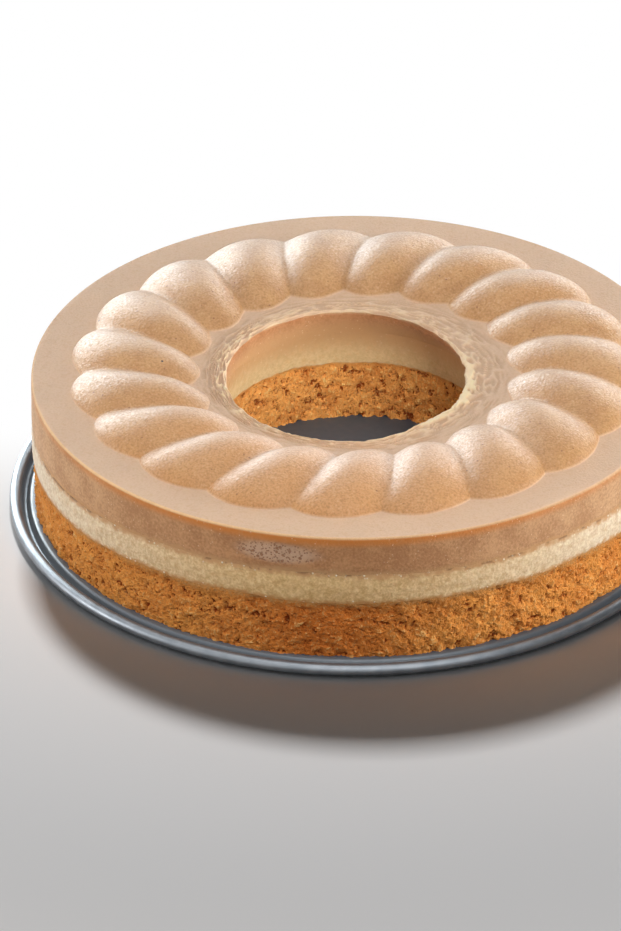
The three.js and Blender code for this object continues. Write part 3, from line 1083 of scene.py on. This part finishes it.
# %% Colours of the caramel
def caramel_top(finish, sand):
    cloud = finish.climb(finish.grain(9 * MM, detail=3), 0.3, 0.7)
    # painted shade: the flutes are browner than the shoulder
    flutes = finish.blend(cloud, screen_colour(186, 134, 78), screen_colour(198, 148, 92))
    # painted light: the flutes at the front are lighter
    flutes = finish.blend(finish.mark("front"), flutes, screen_colour(205, 148, 90))
    brown = finish.climb(sand, 0.46, 0.7, 0, 0.38)
    flutes = finish.blend(brown, flutes, screen_colour(136, 88, 44))
    flutes = finish.blend(finish.climb(sand, 0.46, 0.25, 0, 0.25), flutes, screen_colour(228, 198, 162))
    sandy = finish.times(brown, 0.3)
    # painted sheen: the flat shoulder is paler than the flutes
    shoulder = finish.blend(sandy, screen_colour(225, 189, 157), screen_colour(168, 118, 76))
    return finish.blend(finish.mark("flute_gloss_and_shade"), shoulder, flutes)


def caramel_wall(finish):
    mottle = finish.sums("ADD", finish.grain(1.1 * MM, detail=4), finish.grain(12 * MM, detail=3))
    mottle = finish.climb(mottle, 0.75, 1.25)
    side = finish.blend(mottle, screen_colour(190, 143, 101), screen_colour(216, 171, 128))
    # painted shade: the walls at the front are darker
    front = finish.blend(mottle, screen_colour(176, 121, 77), screen_colour(204, 149, 101))
    hole = finish.blend(mottle, screen_colour(180, 121, 78), screen_colour(206, 148, 102))
    return finish.blend(finish.mark("inside"), finish.blend(finish.mark("front"), side, front), hole)


def caramel_edges(finish, colour):
    """Lays the glow, the lit rim, the mixture with the cream and the sparkles of the wall over a colour."""
    inside, near_cream = finish.mark("inside"), finish.mark("near_cream")
    glow = finish.climb(finish.mark("glow"), 0, 1, 0, 0.92)
    colour = finish.blend(glow, colour, screen_colour(216, 132, 58))
    colour = finish.blend(finish.times(finish.mark("rim"), 0.8), colour, screen_colour(252, 208, 152))
    mixed = finish.blend(inside, finish.ragged(near_cream, 2.4 * MM, 0.3), near_cream)
    colour = finish.blend(mixed, colour, finish.blend(inside, CREAM_TO_CARAMEL, HOLE_CREAM_TO_CARAMEL))
    distance, chance = finish.cells(1.5 * MM)
    sparkle = finish.times(finish.climb(distance, 0.2, 0.1), finish.climb(chance, 0.6, 0.7))
    sparkle = finish.times(sparkle, finish.mark("wall"), 0.5)
    return finish.blend(sparkle, colour, screen_colour(255, 230, 196))


print("marks on the caramel:", sorted(set_caramel.data.attributes.keys()))

# %% [markdown]
# On the front wall there is a patch where small bubbles were caught against the pan, and the top has a few
# brown specks and still fewer dark ones. The open bubbles are painted darker, which is painted shade.
# Modelling each would be slow and too fine for the mesh. Cells of noise scatter them instead: a spot lies
# round the middle of a cell, and the cell's random colour decides if it is there at all.

# %% Bubbles and specks
FOAM_AT = placed(math.radians(-13.5), CAKE_RADIUS, 50.5 * MM)
FOAM_SIZE = (21 * MM, 21 * MM, 5.5 * MM)
BUBBLE_SPACING = 2.1 * MM
SMALL_BUBBLE_SPACING = 1.1 * MM
SPECK_SPACING = 5 * MM
DARK_SPECK_SPACING = 20 * MM


def foam_patch(finish):
    """1 in the middle of the patch of bubbles, 0 outside it."""
    offset = finish.vector_sums("SUBTRACT", finish.places, FOAM_AT)
    sizes_away = finish.vector_sums("LENGTH", finish.vector_sums("DIVIDE", offset, FOAM_SIZE))
    return finish.climb(sizes_away, 1.0, 0.5)


def foam_bubbles(finish, foam):
    """1 in the open bubbles of the patch, large and small."""
    large, chance = finish.cells(BUBBLE_SPACING)
    small, _ = finish.cells(SMALL_BUBBLE_SPACING)
    open_bubble = finish.times(finish.climb(large, 0.4, 0.25), finish.climb(chance, 0.3, 0.5))
    bubble = finish.sums("MAXIMUM", open_bubble, finish.climb(small, 0.38, 0.24))
    return finish.times(bubble, finish.climb(foam, 0.1, 0.45))


def specked(finish, colour):
    """Scatters brown specks, most of them on the flutes, and a few dark ones over a colour."""
    distance, chance = finish.cells(SPECK_SPACING)
    speck = finish.times(finish.climb(distance, 0.11, 0.05), finish.climb(chance, 0.36, 0.41))
    speck = finish.times(speck, finish.climb(finish.mark("flute_gloss_and_shade"), 0, 1, 0.1, 0.8))
    colour = finish.blend(speck, colour, screen_colour(140, 82, 44))
    distance, chance = finish.cells(DARK_SPECK_SPACING)
    dark = finish.times(finish.climb(distance, 0.03, 0.02), finish.climb(chance, 0.5, 0.55))
    return finish.blend(dark, colour, screen_colour(50, 24, 12))


print("the foam's middle lies at", (FOAM_AT / MM).round(1).tolist(), "mm")

# %% [markdown]
# The finish puts the colours together and adds the torn skin and the painted shade in the creases. The
# caramel is slightly translucent, so it scatters a little light under its surface. The frosty sheen on the
# flutes comes from their gloss: they are smoother than the dull shoulder, and the sand breaks the gloss up.

# %% Finish of the caramel
def caramel_finish():
    scatter = {"Subsurface_Weight": 0.12, "Subsurface_Scale": 2 * MM, "Subsurface_Radius": (1.0, 0.5, 0.25)}
    finish = Finish("set_caramel", IOR=1.6, **scatter)
    sand = finish.grain(0.9 * MM, detail=4)
    foam = foam_patch(finish)
    bubble = foam_bubbles(finish, foam)
    colour = finish.blend(finish.mark("wall"), caramel_top(finish, sand), caramel_wall(finish))
    colour = caramel_edges(finish, colour)
    colour = finish.blend(finish.times(foam, 0.7), colour, screen_colour(214, 178, 150))
    # painted shade in the open bubbles
    colour = finish.blend(bubble, colour, screen_colour(166, 119, 86))
    colour = specked(finish, colour)
    # painted shade in the creases of the collar
    colour = finish.blend(finish.times(finish.mark("creased"), 0.4), colour, screen_colour(182, 138, 98))
    colour = finish.blend(finish.times(finish.mark("skin"), 0.9), colour, screen_colour(255, 231, 185))
    gloss = finish.climb(finish.mark("flute_gloss_and_shade"), 0, 1, 0.88, 0.44)
    roughness = finish.sums("ADD", gloss, finish.climb(sand, 0.3, 0.7, 0, 0.2))
    pitted = finish.relief(finish.times(bubble, -1.0), 0.25 * MM, finish.relief(sand, 0.25 * MM))
    return finish.wear(Base_Color=colour, Roughness=roughness, Normal=pitted)


finished(set_caramel, caramel_finish(), "cake", "set_caramel", "caramel_crown")
print("the caramel rides on the cake")

# %% [markdown]
# The cake stands on a pale table that goes over into white behind it. The white is a property of the table
# alone: where the camera, a reflection or clear glass looks at it, the part behind the cake gives plain
# white light, and the far parts in front and at the sides an even pale grey. For all other rays the table
# is an ordinary matt surface, so it gives the cake no light of its own, and the near part keeps the
# shadow.

# %% The table
TABLE_HALF = 15.0
TABLE_DROP = 0.05 * MM
TABLE_GREY = screen_colour(247, 246, 246)
TABLE_FAR = screen_colour(206, 203, 201)
WHITE = (1.0, 1.0, 1.0, 1.0)
GREY_UNTIL = -70 * MM
WHITE_FROM = 60 * MM
LIT_UNTIL = 0.26
EVEN_FROM = 0.5


def seen_rays(tree):
    """1 for rays from the camera, in a reflection or through glass, and 0 for rays that carry light."""
    path = tree.nodes.new("ShaderNodeLightPath")
    total = path.outputs["Is Camera Ray"]
    for kind in ("Is Glossy Ray", "Is Transmission Ray"):
        larger = tree.nodes.new("ShaderNodeMath")
        larger.operation = "MAXIMUM"
        tree.links.new(total, larger.inputs[0])
        tree.links.new(path.outputs[kind], larger.inputs[1])
        total = larger.outputs["Value"]
    return total


def table_finish():
    finish = Finish("pale_table", Base_Color=TABLE_GREY, Roughness=0.9)
    tree = finish.tree
    split = tree.nodes.new("ShaderNodeSeparateXYZ")
    finish.feed(split.inputs["Vector"], finish.places)
    behind = finish.climb(split.outputs["Y"], GREY_UNTIL, WHITE_FROM)
    away = finish.climb(finish.vector_sums("LENGTH", finish.places), LIT_UNTIL, EVEN_FROM)
    glow = tree.nodes.new("ShaderNodeEmission")
    finish.feed(glow.inputs["Color"], finish.blend(behind, TABLE_FAR, WHITE))
    mix = tree.nodes.new("ShaderNodeMixShader")
    finish.feed(mix.inputs["Fac"], finish.times(finish.sums("MAXIMUM", behind, away), seen_rays(tree)))
    finish.feed(mix.inputs[1], finish.shader.outputs["BSDF"])
    finish.feed(mix.inputs[2], glow.outputs["Emission"])
    finish.feed(tree.nodes["Material Output"].inputs["Surface"], mix.outputs["Shader"])
    return finish.material


def stage_sheet(name, corners, finish):
    """A flat sheet with four corners that belongs to the stage and not to the model."""
    mesh = bpy.data.meshes.new(name)
    mesh.from_pydata(corners, [], [(0, 1, 2, 3)])
    mesh.materials.append(finish)
    sheet = bpy.data.objects.new(name, mesh)
    bpy.context.scene.collection.objects.link(sheet)
    return sheet


table_sides = [(-1, -1), (1, -1), (1, 1), (-1, 1)]
table_corners = [(TABLE_HALF * x, TABLE_HALF * y, -TABLE_DROP) for x, y in table_sides]
table = stage_sheet("table", table_corners, table_finish())
print("laid the", table.name)

# %% [markdown]
# The light is soft and plain. A window behind throws the cake's shadow on the table, a ceiling and a card
# above the camera light the cake, two lamps light its sides and a small one its hole. Two pale screens
# stand low behind it and are seen only in reflections. They draw the frosty sheen on the parts of the
# flutes that turn away, because a smooth surface mirrors most at a low angle.

# %% Lamps
WORLD_FILL = 0.07
CAKE_MIDDLE = Vector((0, 0, 0.04))
HOLE_BACK = Vector((-0.06, 0.03, 0.01))
SHEEN_TINT = (0.9, 1.0, 1.03)
LAMPS = {
    "window": (Vector((-0.12, 0.8, 0.95)), CAKE_MIDDLE, 0.18, 0.2, 13.5),
    "ceiling": (Vector((0, 0, 1.3)), CAKE_MIDDLE, 1.0, 1.0, 6.5),
    "card": (Vector((0.25, -0.9, 0.95)), CAKE_MIDDLE, 1.1, 0.8, 7.3),
    "side_right": (Vector((1.1, -0.1, 0.22)), CAKE_MIDDLE, 0.5, 0.4, 9),
    "side_left": (Vector((-1.1, -0.1, 0.22)), CAKE_MIDDLE, 0.5, 0.4, 5),
    "hole": (Vector((0.0, -0.01, 0.032)), HOLE_BACK, 0.04, 0.03, 0.026),
    "sheen_left": (Vector((-0.56, 0.95, 0.36)), CAKE_MIDDLE, 0.8, 0.6, 23.5),
    "sheen_right": (Vector((0.47, 1.0, 0.36)), CAKE_MIDDLE, 0.8, 0.6, 11),
}


def fill_world():
    """White where it is looked at, and a weak even fill as light."""
    world = bpy.data.worlds.new("studio")
    world.use_nodes = True
    tree = world.node_tree
    background = tree.nodes["Background"]
    background.inputs["Color"].default_value = WHITE
    strength = tree.nodes.new("ShaderNodeMix")
    strength.data_type = "FLOAT"
    sockets = {socket.identifier: socket for socket in strength.inputs}
    tree.links.new(seen_rays(tree), sockets["Factor_Float"])
    sockets["A_Float"].default_value = WORLD_FILL
    sockets["B_Float"].default_value = 1.0
    tree.links.new(strength.outputs[0], background.inputs["Strength"])
    bpy.context.scene.world = world


def hang_lamp(name, place, aim, width, height, power):
    light = bpy.data.lights.new(name, "AREA")
    light.shape = "RECTANGLE"
    light.size = width
    light.size_y = height
    light.energy = power
    lamp = bpy.data.objects.new(name, light)
    lamp.location = place
    lamp.rotation_euler = (aim - place).to_track_quat("-Z", "Y").to_euler()
    lamp.visible_camera = False
    bpy.context.scene.collection.objects.link(lamp)
    return lamp


fill_world()
lamps = {name: hang_lamp(name, *settings) for name, settings in LAMPS.items()}
lamps["hole"].visible_glossy = False
for sheen in (lamps["sheen_left"], lamps["sheen_right"]):
    sheen.visible_diffuse = False
    sheen.data.color = SHEEN_TINT
print("lamps:", list(lamps))

# %% [markdown]
# Light linking says which lamp lights what: the window lights only the table, the small lamp only the
# layers, and all others leave the table alone, so its shadow has one direction. The lamp at the right
# leaves the base alone too, where it would only glare. A black card stands at the right. Only reflections
# see it, and it draws the dark band that gives the satin bead its shape.

# %% Light linking and the black card
CARD_AT = 0.5
CARD_BACK, CARD_FRONT = 0.45, -0.6
CARD_TOP = 1.25
LINKED = {
    "window": ("INCLUDE", [table]),
    "hole": ("INCLUDE", [baked_crumb, set_cream, set_caramel]),
    "side_right": ("EXCLUDE", [table, coated_base]),
}


def link_light(lamp, state, things):
    """Lets a lamp light only these things, with INCLUDE, or all but these, with EXCLUDE."""
    linked = bpy.data.collections.new(lamp.name + "_linked")
    lamp.light_linking.receiver_collection = linked
    for thing in things:
        linked.objects.link(thing)
    for member in linked.collection_objects:
        member.light_linking.link_state = state


def stand_card():
    """The black card, which only reflections see."""
    outline = [(CARD_FRONT, 0.0), (CARD_BACK, 0.0), (CARD_BACK, CARD_TOP), (CARD_FRONT, CARD_TOP)]
    black = Finish("black_card", Base_Color=(0.0, 0.0, 0.0, 1.0), Roughness=1.0).material
    card = stage_sheet("flag", [(CARD_AT, y, z) for y, z in outline], black)
    for way in ("camera", "diffuse", "shadow", "transmission"):
        setattr(card, "visible_" + way, False)
    return card


for name, lamp in lamps.items():
    link_light(lamp, *LINKED.get(name, ("EXCLUDE", [table])))
bpy.context.scene.view_settings.view_transform = "Standard"
print("reflections see the", stand_card().name)

# %% [markdown]
# The picture was taken from far away with a long lens, which shows in how little the back of the ring
# shrinks. The camera looks down at the middle of the base, and a small shift of the lens moves the cake to
# its place in the frame.

# %% Camera
IMAGE_WIDTH = 621
IMAGE_HEIGHT = 931
FOCAL_PIXELS = 12000
CAMERA_DISTANCE = 4.852
CAMERA_ELEVATION = math.radians(30.58)
AIM = Vector((0, 0, FLOOR_TOP))
AIM_PIXEL = (354.6, 491.1)
SENSOR = 36
CLIP_END = 100


def set_camera():
    lens = bpy.data.cameras.new("camera")
    lens.sensor_width = SENSOR
    lens.lens = FOCAL_PIXELS * SENSOR / IMAGE_HEIGHT
    lens.shift_x = (IMAGE_WIDTH / 2 - AIM_PIXEL[0]) / IMAGE_HEIGHT
    lens.shift_y = (AIM_PIXEL[1] - IMAGE_HEIGHT / 2) / IMAGE_HEIGHT
    lens.clip_end = CLIP_END
    camera = bpy.data.objects.new("camera", lens)
    towards_camera = Vector((0, -math.cos(CAMERA_ELEVATION), math.sin(CAMERA_ELEVATION)))
    camera.location = AIM + CAMERA_DISTANCE * towards_camera
    camera.rotation_euler = (TURN / 4 - CAMERA_ELEVATION, 0, 0)
    bpy.context.scene.collection.objects.link(camera)
    bpy.context.scene.camera = camera
    return lens.lens


print("camera with a lens of", round(set_camera()), "mm")

# %% [markdown]
# Last, the view layer is updated.

# %% Update the view layer
bpy.context.view_layer.update()
